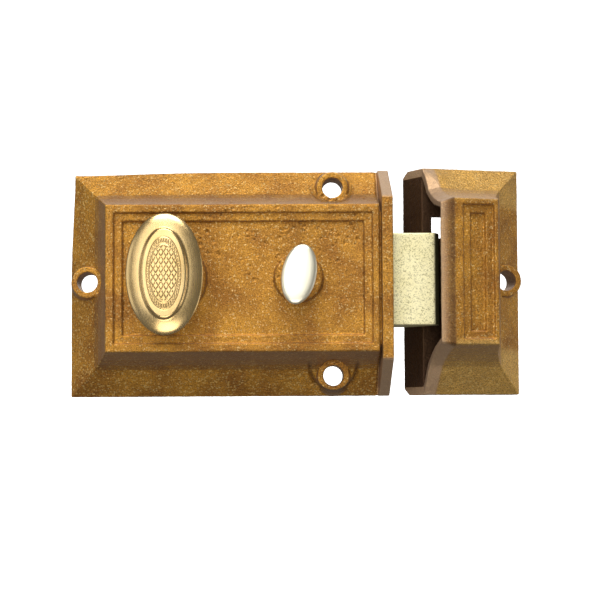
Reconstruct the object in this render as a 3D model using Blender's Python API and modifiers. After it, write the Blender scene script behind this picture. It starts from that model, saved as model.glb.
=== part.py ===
"""A rim night latch: cast case with its mechanism, and the cast strike that takes the latch bolt."""

import math

import bmesh
import bpy
from mathutils import Matrix, Vector

MM = 0.001

# The case. X runs towards the bolt, Z is up, and a height is measured from the door face to the room (-Y).
CASE_LENGTH = 98.4
CASE_HEIGHT = 69.85
FACE_HEIGHT = 21.3
BEVEL = 13.2
FLANGE_THICKNESS = 3.3

CASE_LEFT = -CASE_LENGTH / 2
CASE_END = CASE_LENGTH / 2
HALF = CASE_HEIGHT / 2
FLANGE_X = CASE_END - FLANGE_THICKNESS
BODY_END = FLANGE_X - 0.8

# How far in the bevelled front has come at each height, as shares of the bevel's width and the face's height.
BEVEL_CURVE = (
    (0.0, -0.07),
    (0.0, 0.075),
    (0.61, 0.394),
    (0.72, 0.50),
    (0.83, 0.66),
    (0.93, 0.85),
    (0.97, 0.965),
    (1.0, 1.0),
)

# The moulding round the face: how far in each step starts, and how high it lies below the face.
MOULDING = ((2.1, 0.9), (4.6, 0.9))
STEP_SLOPE = 0.45

KNOB_X = -17.6
SNIB_X = 21.1
BOSS_HEIGHT = 21.0
KNOB_BOSS_RADIUS = 11.4
SNIB_BOSS_RADIUS = 7.3

# Fixing screw holes: bosses that lean in a little, with a spot face and a plain hole.
HOLE_RADIUS = 3.1
HOLE_BOSS_FOOT = 6.3
HOLE_BOSS_TOP = 4.8
HOLE_BOSS_HEIGHT = 9.2
CASE_HOLES = ((CASE_LEFT + 6.0, 0.0), (31.7, 28.8), (31.7, -28.8))

# The back cover and its screws.
PLATE_THICKNESS = 1.6
PLATE_MARGIN = 2.6
GAP = 0.25
PLATE_SCREWS = ((-32.5, 22.5), (-32.5, -22.5), (13.0, 22.5), (13.0, -22.5))

# The latch bolt and its tail.
BOLT_HALF = 13.9
BOLT_BACK = 4.2
BOLT_FRONT = 16.2
BOLT_TAIL_END = 41.0
BOLT_TIP = CASE_END + 14.5
BOLT_NOSE = 1.5
THROW = 12.0
TAIL_BACK = 5.2
TAIL_FRONT = 8.2
TAIL_HALF = 3.4
FORK_HALF = 10.0
FORK_BAR = 3.0
FORK_END = KNOB_X - 4.4
FORK_ROOT = KNOB_X + 18.4
NOTCH = (SNIB_X + 1.8, SNIB_X + 6.6)
NOTCH_FLOOR = 1.7
STUD_X = 8.5
RIVETS_X = (43.6, 47.0)

# The rollback hub.
HUB_RADIUS = 5.5
ARM_REACH = 13.0
ARM_HALF = 2.0
SPINDLE_RADIUS = 3.2

# The snib: its pin's place at rest, in degrees from upright, clockwise from the front.
SNIB_PIN_REACH = 6.0
SNIB_PIN_RADIUS = 1.3
SNIB_PIN_REST = -35.0
SNIB_TILT = 11.0

# The bolt's spring, above the snib.
SPRING_Z = 10.9
SPRING_HEIGHT = 12.2
SPRING_RADIUS = 2.4
SPRING_WIRE = 0.4
SPRING_TURNS = 11
SPRING_LEFT = 15.3
POST_X = 13.7

# The strike lies tipped on its back flange, turned about its base's far edge. Its X runs back from there.
STRIKE_X = 89.4
STRIKE_TILT = 12.0
STRIKE_MOUTH = -31.0
STRIKE_SHOULDER = -27.4
STRIKE_RAMP = 2.5
STRIKE_SIDE = 12.3
STRIKE_BEVEL = 14.0
STRIKE_FLOOR = 1.3
STRIKE_CEILING = 18.2
STRIKE_POCKET = ((32.0, STRIKE_FLOOR), (25.9, 5.6), (23.4, 9.4), (21.8, 12.6), (20.2, STRIKE_CEILING))
STRIKE_SLOT = (-28.0, -22.5, 13.4, 20.0)
STRIKE_PANEL = (STRIKE_SHOULDER + 0.3, -STRIKE_BEVEL + 1.1, HALF - STRIKE_SIDE + 0.7)
STRIKE_HOLE_X = -6.4
STRIKE_HOLE_WALL = -7.6

# The strike's back flange: where its faces leave the floor, how far they lean out, and the foot it lies on.
JAMB_OUTER = -31.1
JAMB_INNER = -28.5
JAMB_LEAN = 0.45
JAMB_FOOT = -32.1 * math.tan(math.radians(STRIKE_TILT))

CASTINGS = ("case", "strike")  # their long chains of cuts leave the exact solver with open edges

UPRIGHT = Matrix.Rotation(math.radians(90), 4, "X")  # a drawing's height becomes the way to the room
ALONG_X = Matrix(((0, 0, 1, 0), (0, -1, 0, 0), (1, 0, 0, 0), (0, 0, 0, 1)))  # drawn in (z, height)
ALONG_Z = Matrix(((1, 0, 0, 0), (0, -1, 0, 0), (0, 0, -1, 0), (0, 0, 0, 1)))  # drawn in (x, height)


def clear_scene():
    for obj in list(bpy.data.objects):
        bpy.data.objects.remove(obj, do_unlink=True)


def new_collection(name):
    collection = bpy.data.collections.new(name)
    bpy.context.scene.collection.children.link(collection)
    return collection


def new_material(name, colour, roughness, metallic):
    material = bpy.data.materials.new(name)
    material.use_nodes = True
    shader = material.node_tree.nodes["Principled BSDF"]
    shader.inputs["Base Color"].default_value = (*colour, 1.0)
    shader.inputs["Roughness"].default_value = roughness
    shader.inputs["Metallic"].default_value = metallic
    return material


clear_scene()
parts = new_collection("rim_night_latch")
cutters = new_collection("cutters")

BRONZE = new_material("bronze_paint", (0.42, 0.24, 0.07), 0.45, 0.6)
BRASS = new_material("polished_brass", (0.83, 0.68, 0.36), 0.15, 1.0)
PLATED = new_material("plated_bolt", (0.78, 0.74, 0.58), 0.35, 1.0)
STEEL = new_material("zinc_steel", (0.62, 0.62, 0.60), 0.35, 1.0)
TURNED_BRASS = new_material("turned_brass", (0.75, 0.58, 0.28), 0.25, 1.0)


def add_mesh(name, mesh, matrix, material=None, collection=None):
    """A mesh drawn in millimetres becomes an object in metres."""
    mesh.transform(Matrix.Scale(MM, 4))
    obj = bpy.data.objects.new(name, mesh)
    (collection or parts).objects.link(obj)
    obj.matrix_world = matrix
    if material:
        mesh.materials.append(material)
    return obj


def place(x, z):
    """The frame of a piece whose own +Z points to the room, on the axis at x, z."""
    return Matrix.Translation((x * MM, 0, z * MM)) @ UPRIGHT


def as_cutter(obj):
    for collection in list(obj.users_collection):
        collection.objects.unlink(obj)
    cutters.objects.link(obj)
    obj.hide_render = True
    obj.display_type = "WIRE"
    return obj


def boolean(obj, other, operation):
    """The Boolean is left on the object, and its tool goes to the cutters."""
    modifier = obj.modifiers.new(operation.title(), "BOOLEAN")
    modifier.operation = operation
    modifier.solver = "MANIFOLD" if obj.name in CASTINGS else "EXACT"
    modifier.object = as_cutter(other)


def cut(obj, *others):
    for other in others:
        boolean(obj, other, "DIFFERENCE")


def join(obj, *others):
    for other in others:
        boolean(obj, other, "UNION")


def smooth(obj, degrees=35):
    obj.data.shade_smooth()
    obj.data.set_sharp_from_angle(angle=math.radians(degrees))
    return obj


def prism(name, outline, low, high, frame, material=None):
    """A flat outline, drawn in two of the frame's directions and filled, from low to high along the third."""
    curve = bpy.data.curves.new(name + "_outline", "CURVE")
    curve.dimensions = "2D"
    curve.fill_mode = "BOTH"
    curve.extrude = (high - low) / 2
    spline = curve.splines.new("POLY")
    spline.points.add(len(outline) - 1)
    for point, (u, v) in zip(spline.points, outline):
        point.co = (u, v, 0.0, 1.0)
    spline.use_cyclic_u = True
    drawn = bpy.data.objects.new(name + "_outline", curve)
    parts.objects.link(drawn)
    graph = bpy.context.evaluated_depsgraph_get()
    mesh = bpy.data.meshes.new_from_object(drawn.evaluated_get(graph))
    bpy.data.objects.remove(drawn, do_unlink=True)
    bpy.data.curves.remove(curve)
    solid = bmesh.new()
    solid.from_mesh(mesh)
    bmesh.ops.remove_doubles(solid, verts=solid.verts, dist=1e-4)
    bmesh.ops.translate(solid, verts=solid.verts, vec=(0, 0, (low + high) / 2))
    bmesh.ops.recalc_face_normals(solid, faces=solid.faces)
    solid.to_mesh(mesh)
    solid.free()
    mesh.name = name
    return add_mesh(name, mesh, frame, material)


def box(name, low, high, material=None, frame=UPRIGHT):
    """A box from (x, z, height) to (x, z, height)."""
    solid = bmesh.new()
    bmesh.ops.create_cube(solid, size=1.0)
    for vert in solid.verts:
        vert.co = Vector(((a + b) / 2 + c * (b - a) for a, b, c in zip(low, high, vert.co)))
    mesh = bpy.data.meshes.new(name)
    solid.to_mesh(mesh)
    solid.free()
    return add_mesh(name, mesh, frame, material)


def turned(name, profile, frame, material=None, steps=40):
    """A profile of (radius, height) points, top to bottom down its outside, turned about the frame's +Z."""
    mesh = bpy.data.meshes.new(name)
    points = [(radius, 0.0, height) for radius, height in profile]
    mesh.from_pydata(points, [(i, i + 1) for i in range(len(points) - 1)], [])
    obj = add_mesh(name, mesh, frame, material)
    screw = obj.modifiers.new("Turned", "SCREW")
    screw.angle = math.radians(360)
    screw.steps = steps
    screw.render_steps = steps
    screw.use_merge_vertices = True
    screw.merge_threshold = 1e-5
    screw.use_smooth_shade = True
    return obj


def rod(name, radius, low, high, frame, material=None, steps=32, chamfer=0.0):
    profile = [(0, high), (radius - chamfer, high)]
    if chamfer:
        profile += [(radius, high - chamfer), (radius, low + chamfer)]
    profile += [(radius - chamfer, low), (0, low)]
    return turned(name, profile, frame, material, steps)


def ring(name, inner, outer, low, high, frame, material=None, steps=40):
    profile = [(inner, low), (inner, high), (outer, high), (outer, low), (inner, low)]
    return turned(name, profile, frame, material, steps)


def bevel_profile(width, height):
    return [(share * width, rise * height) for share, rise in BEVEL_CURVE]


def section(half, bevel, height, lift=0.0):
    """A section across the case or the strike, in (z, height): the bevel, the face and the bevel again."""
    side = [(half - inset, rise - lift) for inset, rise in bevel_profile(bevel, height)]
    side[0] = (half, -1.5)
    side[1] = (half, max(side[1][1], -0.5))
    return side + [(-z, rise) for z, rise in reversed(side)]


def loft_x(name, sections, material=None, frame=UPRIGHT):
    """Sections of (z, height) points, at places along X, skinned into one closed solid."""
    solid = bmesh.new()
    rings = []
    for x, outline in sections:
        rings.append([solid.verts.new((x, z, rise)) for z, rise in outline])
    count = len(rings[0])
    for left, right in zip(rings, rings[1:]):
        for i in range(count):
            j = (i + 1) % count
            solid.faces.new((left[i], left[j], right[j], right[i]))
    solid.faces.new(rings[0])
    solid.faces.new(rings[-1])
    bmesh.ops.recalc_face_normals(solid, faces=solid.faces)
    mesh = bpy.data.meshes.new(name)
    solid.to_mesh(mesh)
    solid.free()
    return add_mesh(name, mesh, frame, material)


def face_step(name, left, right, half, bottom, top, frame=UPRIGHT):
    """A cutter for one step of the moulding: a tray with sloping sides."""
    spread = STEP_SLOPE * (top - bottom)
    solid = bmesh.new()
    rings = []
    for inset, level in ((spread, bottom), (0.0, top)):
        low_x, high_x, high_z = left + inset, right - inset, half - inset
        corners = ((low_x, high_z), (high_x, high_z), (high_x, -high_z), (low_x, -high_z))
        rings.append([solid.verts.new((x, z, level)) for x, z in corners])
    lower, upper = rings
    for i in range(4):
        j = (i + 1) % 4
        solid.faces.new((lower[i], lower[j], upper[j], upper[i]))
    solid.faces.new(lower)
    solid.faces.new(upper)
    bmesh.ops.recalc_face_normals(solid, faces=solid.faces)
    mesh = bpy.data.meshes.new(name)
    solid.to_mesh(mesh)
    solid.free()
    return add_mesh(name, mesh, frame)


def moulding(obj, name, left, right, half, frame=UPRIGHT):
    """Two shallow steps down into the face, each with sloping sides."""
    level = FACE_HEIGHT
    for number, (inset, drop) in enumerate(MOULDING):
        top = level + 0.4
        start = inset - STEP_SLOPE * (top - level)
        sides = (left + start, right - start, half - start)
        cut(obj, face_step(f"{name}_step_{number}", *sides, level - drop, top, frame))
        level -= drop


def screw_boss(name, x, z, height, foot, top, frame=UPRIGHT):
    spread = 0.7 * (foot - top) / height
    profile = [(0, height), (top, height), (foot + spread, -0.7), (0, -0.7)]
    return turned(name, profile, frame @ Matrix.Translation((x * MM, z * MM, 0)))


def fixing_hole(obj, name, x, z, height, frame=UPRIGHT, wall=None):
    """A boss is joined on, a spot face clears the bevel above it, up to any wall, and the hole goes in."""
    at = frame @ Matrix.Translation((x * MM, z * MM, 0))
    join(obj, screw_boss(name + "_boss", x, z, height, HOLE_BOSS_FOOT, HOLE_BOSS_TOP, frame))
    spot = rod(name + "_spot", HOLE_BOSS_TOP + 0.15, height, height + 14, at)
    if wall is not None:
        side = box(name + "_wall", (wall, z - 9, height - 2), (wall + 20, z + 9, height + 16), frame=frame)
        boolean(spot, side, "INTERSECT")
    cut(obj, spot)
    cut(obj, rod(name + "_hole", HOLE_RADIUS, -3, height + 0.1, at))


def make_case():
    """The casting: a bevelled hollow box, open at the back, with an end flange, bosses and a bolt window."""
    outer = section(HALF, BEVEL, FACE_HEIGHT)
    case = prism("case", outer, CASE_LEFT, BODY_END, ALONG_X, BRONZE)
    left = [(CASE_LEFT + inset, rise) for inset, rise in bevel_profile(BEVEL, FACE_HEIGHT)]
    side = [(CASE_LEFT, -3.0)] + left[1:] + [(left[-1][0], 25.0), (60.0, 25.0), (60.0, -3.0)]
    boolean(case, prism("case_left_bevel", side, -40, 40, ALONG_Z), "INTERSECT")

    hollow = [(HALF - 5.0, -4.0), (HALF - 5.0, 3.0), (HALF - 13.0, 10.0), (HALF - 14.8, 17.0)]
    hollow += [(-z, rise) for z, rise in reversed(hollow)]
    space = prism("case_space", hollow, CASE_LEFT + 2, BODY_END - 1.9, ALONG_X)
    sides = [(5.0, -5.0), (5.0, 3.0), (13.0, 10.0), (14.2, 17.5)]
    ends = [(CASE_LEFT + inset, height) for inset, height in sides]
    ends += [(60.0, 17.5), (60.0, -5.0)]
    boolean(space, prism("case_space_left", ends, -40, 40, ALONG_Z), "INTERSECT")
    cut(case, space)

    web = section(HALF - 0.15, BEVEL + 1.9, FACE_HEIGHT - 1.6)
    join(case, prism("case_web", web, BODY_END - 1.5, FLANGE_X + 1.5, ALONG_X))
    flange = [(HALF + 0.05, -1.1), (HALF + 0.05, 4.0), (24.6, 21.2), (24.0, 21.8)]
    flange += [(-z, rise) for z, rise in reversed(flange)]
    join(case, prism("case_flange", flange, FLANGE_X, CASE_END, ALONG_X))

    recess = PLATE_MARGIN - GAP
    low = (CASE_LEFT + recess, -HALF + recess, -4.0)
    high = (BODY_END - 1.9 + 0.3, HALF - recess, PLATE_THICKNESS + GAP)
    cut(case, box("case_plate_recess", low, high))
    for name, (x, z) in zip(("case_left", "case_top", "case_bottom"), CASE_HOLES):
        fixing_hole(case, name, x, z, HOLE_BOSS_HEIGHT)
    for number, (x, z) in enumerate(PLATE_SCREWS):
        post = rod(f"case_post_{number}", 3.4, PLATE_THICKNESS + GAP, 9.6, place(x, z), steps=24)
        join(case, post)
        cut(case, rod(f"case_pilot_{number}", 1.5, 0.5, 8.6, place(x, z), steps=16))

    moulding(case, "case", CASE_LEFT + BEVEL, BODY_END + 0.3, HALF - BEVEL)
    for x, radius, bore in ((KNOB_X, KNOB_BOSS_RADIUS, 4.95), (SNIB_X, SNIB_BOSS_RADIUS, 3.95)):
        side = [(radius - 0.5, BOSS_HEIGHT), (radius, BOSS_HEIGHT - 0.5), (radius + 0.2, 18.0)]
        join(case, turned("case_shaft_boss", [(0, BOSS_HEIGHT)] + side + [(0, 18.0)], place(x, 0)))
        cut(case, rod("case_bush_bore", bore, 14.0, 26.0, place(x, 0)))
    window = (BOLT_HALF + 0.3, BOLT_BACK - 0.3, BOLT_FRONT + 0.3)
    cut(case, box("case_bolt_window", (40.0, -window[0], window[1]), (52.0, window[0], window[2])))
    cut(case, box("case_back_trim", (-60, -45, -6), (60, 45, 0)))
    smooth(case, 30)


def make_back_plate():
    """The steel cover, notched round the fixing bosses, with a hole for the hub and four sunk screws."""
    right = BODY_END - 1.9
    low = (CASE_LEFT + PLATE_MARGIN, -HALF + PLATE_MARGIN, 0.0)
    plate = box("back_plate", low, (right, HALF - PLATE_MARGIN, PLATE_THICKNESS), STEEL)
    for number, (x, z) in enumerate(CASE_HOLES):
        cut(plate, rod(f"plate_notch_{number}", HOLE_BOSS_FOOT + GAP, -2, 4, place(x, z)))
    cut(plate, rod("plate_hub_hole", HUB_RADIUS + 0.4, -2, 4, place(KNOB_X, 0)))
    cut(plate, rod("plate_stud_hole", 1.8, -2, 4, place(STUD_X, 0), steps=24))
    cut(plate, rod("plate_post_hole", 1.5, -2, 4, place(POST_X, SPRING_Z), steps=24))
    for number, (x, z) in enumerate(PLATE_SCREWS):
        sink = [(0, 4), (1.5, 4), (1.5, 1.3), (2.9, -0.1), (2.9, -2), (0, -2)]
        cut(plate, turned(f"plate_sink_{number}", sink, place(x, z), steps=24))
        screw = [(0, 7.8), (0.8, 7.8), (1.2, 7.2), (1.2, 1.25), (2.5, 0.05), (0, 0.05)]
        made = turned(f"back_plate_screw_{number + 1}", screw, place(x, z), STEEL, steps=24)
        cut(made, box(f"screw_slot_{number}", (x - 3, z - 0.3, -1), (x + 3, z + 0.3, 0.5)))


def make_bolt():
    """The cast head, bevelled at the back, and the steel tail that hub and snib work on, with two rivets."""
    outline = [
        (BOLT_TAIL_END, BOLT_BACK),
        (BOLT_TIP - 9.4, BOLT_BACK),
        (BOLT_TIP - 0.2, BOLT_FRONT - 2.9),
        (BOLT_TIP, BOLT_FRONT - 2.6),
        (BOLT_TIP - 0.3, BOLT_FRONT - 1.7),
        (BOLT_TIP - BOLT_NOSE, BOLT_FRONT),
        (BOLT_TAIL_END, BOLT_FRONT),
    ]
    head = prism("latch_bolt", outline, -BOLT_HALF, BOLT_HALF, ALONG_Z, PLATED)
    slot = (BOLT_TAIL_END - 1, -TAIL_HALF - GAP, TAIL_BACK - GAP)
    cut(head, box("bolt_tail_slot", slot, (49.6, TAIL_HALF + GAP, TAIL_FRONT + GAP)))

    tail_outline = [
        (49.2, TAIL_HALF),
        (NOTCH[1] + THROW, TAIL_HALF),
        (NOTCH[1] + THROW, NOTCH_FLOOR),
        (NOTCH[0] + THROW, NOTCH_FLOOR),
        (NOTCH[0] + THROW, TAIL_HALF),
        (NOTCH[1], TAIL_HALF),
        (NOTCH[1], NOTCH_FLOOR),
        (NOTCH[0], NOTCH_FLOOR),
        (NOTCH[0], TAIL_HALF),
        (FORK_ROOT + 6.2, TAIL_HALF),
        (FORK_ROOT + 3.2, FORK_HALF),
        (FORK_END, FORK_HALF),
        (FORK_END, FORK_HALF - FORK_BAR),
        (FORK_ROOT, FORK_HALF - FORK_BAR),
        (FORK_ROOT, FORK_BAR - FORK_HALF),
        (FORK_END, FORK_BAR - FORK_HALF),
        (FORK_END, -FORK_HALF),
        (FORK_ROOT + 3.2, -FORK_HALF),
        (FORK_ROOT + 6.2, -TAIL_HALF),
        (49.2, -TAIL_HALF),
    ]
    tail = prism("bolt_tail", tail_outline, TAIL_BACK, TAIL_FRONT, UPRIGHT, STEEL)
    for number, side in enumerate((1, -1)):
        low, high = sorted((side * (FORK_HALF - FORK_BAR), side * FORK_HALF))
        top = (FORK_END + 2.1, high, TAIL_FRONT + 3.0)
        join(tail, box(f"tail_lug_{number}", (FORK_END, low, TAIL_BACK + 1), top))
    left, right = STUD_X - 2.0, STUD_X + THROW + 2.0
    cut(tail, box("tail_guide_slot", (left, -1.7, TAIL_BACK - 1), (right, 1.7, TAIL_FRONT + 1)))
    for number, x in enumerate(RIVETS_X):
        cut(head, rod(f"head_rivet_hole_{number}", 1.45, 3.0, 12.2, place(x, 0), steps=20))
        cut(tail, rod(f"tail_rivet_hole_{number}", 1.45, 3.0, 12.0, place(x, 0), steps=20))
        rod(f"tail_rivet_{number + 1}", 1.2, BOLT_BACK + 0.1, 12.0, place(x, 0), STEEL, steps=20, chamfer=0.2)


def make_guides():
    """The stud in the tail's slot, and the spring's post and pin, all riveted to the back plate."""
    head = [(0, 10.3), (2.6, 10.3), (2.6, 8.6), (1.4, 8.6)]
    foot = [(1.4, 4.9), (2.6, 4.9), (2.6, 1.85), (1.5, 1.85), (1.5, 0.1), (0, 0.1)]
    turned("tail_guide_stud", head + foot, place(STUD_X, 0), STEEL, steps=28)
    post = box("spring_post", (12.3, SPRING_Z - 2.7, 1.85), (SPRING_LEFT - GAP, SPRING_Z + 2.7, 15.6), STEEL)
    join(post, rod("spring_post_foot", 1.25, 0.1, 3.0, place(POST_X, SPRING_Z), steps=24))
    middle = Matrix.Translation((0, -SPRING_HEIGHT * MM, SPRING_Z * MM))
    across = middle @ Matrix.Rotation(math.radians(90), 4, "Y")
    cut(post, rod("spring_post_bore", 1.35, 10.0, 20.0, across, steps=24))
    rod("spring_guide_pin", 1.1, 12.6, 27.4, across, STEEL, steps=24, chamfer=0.3)


def make_spring():
    """A round wire coil from the post to the bolt's head, with flat end turns."""
    length = BOLT_TAIL_END - GAP - SPRING_LEFT
    per_turn = 14
    closed = 1.0
    total = SPRING_TURNS * per_turn
    curve = bpy.data.curves.new("bolt_spring", "CURVE")
    curve.dimensions = "3D"
    curve.bevel_depth = SPRING_WIRE * MM
    curve.bevel_resolution = 2
    curve.use_fill_caps = True
    spline = curve.splines.new("POLY")
    spline.points.add(total)
    pitch = (length - 2 * SPRING_WIRE * (1 + 2 * closed) - 0.3) / (SPRING_TURNS - 2 * closed)
    for i, point in enumerate(spline.points):
        turn = i / per_turn
        slow = 2 * SPRING_WIRE + 0.12
        x = SPRING_WIRE + slow * min(turn, closed)
        x += pitch * min(max(turn - closed, 0.0), SPRING_TURNS - 2 * closed)
        x += slow * max(turn - (SPRING_TURNS - closed), 0.0)
        angle = 2 * math.pi * turn
        across = SPRING_RADIUS * math.cos(angle)
        up = SPRING_RADIUS * math.sin(angle)
        place_x = (SPRING_LEFT + x) * MM
        point.co = (place_x, -(SPRING_HEIGHT + across) * MM, (SPRING_Z + up) * MM, 1.0)
    spring = bpy.data.objects.new("bolt_spring", curve)
    curve.materials.append(STEEL)
    parts.objects.link(spring)


def make_hub():
    """The rollback hub: barrel, two arms, a slot for the cylinder's tailpiece and the spindle's bore."""
    at = place(KNOB_X, 0)
    foot = [(HUB_RADIUS, 0.6), (HUB_RADIUS - 0.5, 0.1), (0, 0.1)]
    profile = [(0, 16.3), (4.6, 16.3), (HUB_RADIUS, 15.6), *foot]
    hub = turned("rollback_hub", profile, at, STEEL)
    tip = [(ARM_HALF, ARM_REACH - 1.2), (ARM_HALF - 1.2, ARM_REACH), (1.2 - ARM_HALF, ARM_REACH)]
    tip.append((-ARM_HALF, ARM_REACH - 1.2))
    join(hub, prism("hub_arms", tip + [(-x, -z) for x, z in tip], 8.7, 11.8, at))
    cut(hub, rod("hub_spindle_bore", SPINDLE_RADIUS + 0.15, 9.0, 18.0, at))
    cut(hub, box("hub_tailpiece_slot", (-3.6, -1.2, -1.0), (3.6, 1.2, 7.6), frame=at))

    ring("hub_thrust_washer", SPINDLE_RADIUS + 0.15, 6.6, 16.5, 16.85, at, STEEL)
    ring("knob_bush", SPINDLE_RADIUS + 0.15, 4.75, 17.2, BOSS_HEIGHT + 0.3, at, TURNED_BRASS)
    spindle = rod("knob_spindle", SPINDLE_RADIUS, 9.3, 31.0, at, STEEL, chamfer=0.4)
    cut(spindle, box("spindle_flat", (-4, 2.3, 24.0), (4, 4, 32), frame=at))


def oval_loft(name, rings, frame, material, count=48, centre=None):
    """Ovals of (half width, half height, level), skinned in order and closed at both ends."""
    solid = bmesh.new()
    made = []
    for half_x, half_z, level in rings:
        loop = []
        for i in range(count):
            angle = 2 * math.pi * i / count
            loop.append(solid.verts.new((half_x * math.cos(angle), half_z * math.sin(angle), level)))
        made.append(loop)
    for lower, upper in zip(made, made[1:]):
        for i in range(count):
            j = (i + 1) % count
            solid.faces.new((lower[i], lower[j], upper[j], upper[i]))
    solid.faces.new(list(reversed(made[0])))
    if centre is None:
        solid.faces.new(made[-1])
    else:
        tip = solid.verts.new((0, 0, centre))
        for i in range(count):
            solid.faces.new((made[-1][i], made[-1][(i + 1) % count], tip))
    mesh = bpy.data.meshes.new(name)
    solid.to_mesh(mesh)
    solid.free()
    return add_mesh(name, mesh, frame, material)


def make_knob():
    """An oval turn knob: round neck, flared back, rounded rim, low dome and a raised oval medallion."""
    at = place(KNOB_X, 0)
    rings = [
        (5.6, 5.6, 21.6),
        (6.0, 6.0, 22.1),
        (5.4, 5.6, 25.0),
        (5.8, 6.6, 27.2),
        (7.8, 10.8, 29.2),
        (10.1, 15.6, 30.8),
        (11.0, 17.2, 31.6),
        (11.2, 17.6, 32.3),
        (11.05, 17.4, 33.0),
        (10.5, 16.75, 33.6),
        (9.5, 15.7, 34.05),
        (8.2, 14.4, 34.3),
        (7.1, 13.45, 34.3),
        (6.6, 13.0, 34.35),
        (6.35, 12.75, 34.9),
        (5.9, 12.3, 35.1),
        (3.6, 8.4, 35.5),
        (1.6, 4.0, 35.7),
    ]
    knob = oval_loft("knob", rings, at, BRASS, centre=35.75)
    cut(knob, rod("knob_bore", SPINDLE_RADIUS + 0.15, 20.0, 31.3, at))
    across = at @ Matrix.Translation((0, 0, 25.3 * MM)) @ Matrix.Rotation(math.radians(-90), 4, "X")
    cut(knob, rod("knob_screw_hole", 1.35, 2.0, 9.0, across, steps=20))
    grub = rod("knob_set_screw", 1.1, 2.55, 5.3, across, STEEL, steps=20, chamfer=0.15)
    cut(grub, box("set_screw_slot", (-2, -0.2, 4.7), (2, 0.2, 6), frame=across))
    smooth(knob, 50)


def make_snib():
    """The small oval turn, its spindle, bush and wave washer, and the cam whose pin drops in the notches."""
    at = place(SNIB_X, 0)
    tilted = at @ Matrix.Rotation(math.radians(-SNIB_TILT), 4, "Z")
    rings = [
        (3.4, 3.4, 21.5),
        (3.3, 3.3, 25.0),
        (2.9, 4.2, 26.6),
        (3.4, 6.6, 28.2),
        (4.6, 8.3, 29.3),
        (5.05, 8.8, 30.0),
        (5.1, 8.85, 30.7),
        (4.8, 8.5, 31.2),
        (4.0, 7.4, 31.5),
        (2.0, 3.9, 31.75),
    ]
    snib = oval_loft("snib", rings, tilted, BRASS, count=40, centre=31.8)
    cut(snib, rod("snib_bore", 2.35, 20.0, 29.0, at, steps=24))
    smooth(snib, 50)
    rod("snib_spindle", 2.2, 9.4, 28.7, at, STEEL, steps=28, chamfer=0.3)
    ring("snib_bush", 2.35, 3.75, 17.2, BOSS_HEIGHT + 0.1, at, TURNED_BRASS, steps=32)
    ring("snib_wave_washer", 2.5, 5.0, 16.1, 16.6, at, STEEL, steps=32)

    cam = ring("snib_cam", 2.35, 3.9, 9.0, 15.8, at, STEEL, steps=32)
    reach = SNIB_PIN_REACH
    ear = [(-2.6, 3.0), (2.6, 3.0), (2.2, reach), (1.2, reach + 1.3), (-1.2, reach + 1.3), (-2.2, reach)]
    turned_to = at @ Matrix.Rotation(math.radians(-SNIB_PIN_REST), 4, "Z")
    join(cam, prism("snib_cam_ear", ear, 9.0, 12.0, turned_to))
    on_pin = turned_to @ Matrix.Translation((0, reach * MM, 0))
    cut(cam, rod("snib_cam_pin_hole", SNIB_PIN_RADIUS - 0.25, 8.0, 13.0, on_pin, steps=20))
    pin = [(0, 11.9), (SNIB_PIN_RADIUS - 0.45, 11.9), (SNIB_PIN_RADIUS - 0.45, 8.8), (SNIB_PIN_RADIUS, 8.8)]
    pin += [(SNIB_PIN_RADIUS, 4.9), (0, 4.9)]
    turned("snib_cam_pin", pin, on_pin, STEEL, steps=24)


def jamb_flange(tipped):
    """The leaning plate behind the strike's mouth that wraps round the jamb's edge, with a cut-off foot."""
    top = STRIKE_FLOOR - 0.05
    foot = JAMB_LEAN * (JAMB_FOOT - top)
    low_end = [(JAMB_OUTER + foot, JAMB_FOOT), (JAMB_INNER + foot, JAMB_FOOT)]
    outline = [(JAMB_OUTER, top), *low_end, (JAMB_INNER, top)]
    plate = prism("jamb_flange", outline, -40, 40, tipped @ ALONG_Z)
    edge = HALF - 0.03  # a hair inside the body, as flush faces leave slivers
    ends = [(edge - 2.0, JAMB_FOOT - 1), (edge - 2.0, JAMB_FOOT), (edge, JAMB_FOOT + 2.0), (edge, 3.0)]
    ends += [(-z, rise) for z, rise in reversed(ends)]
    boolean(plate, prism("jamb_flange_ends", ends, -40, -20, tipped @ ALONG_X), "INTERSECT")
    return plate


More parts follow.
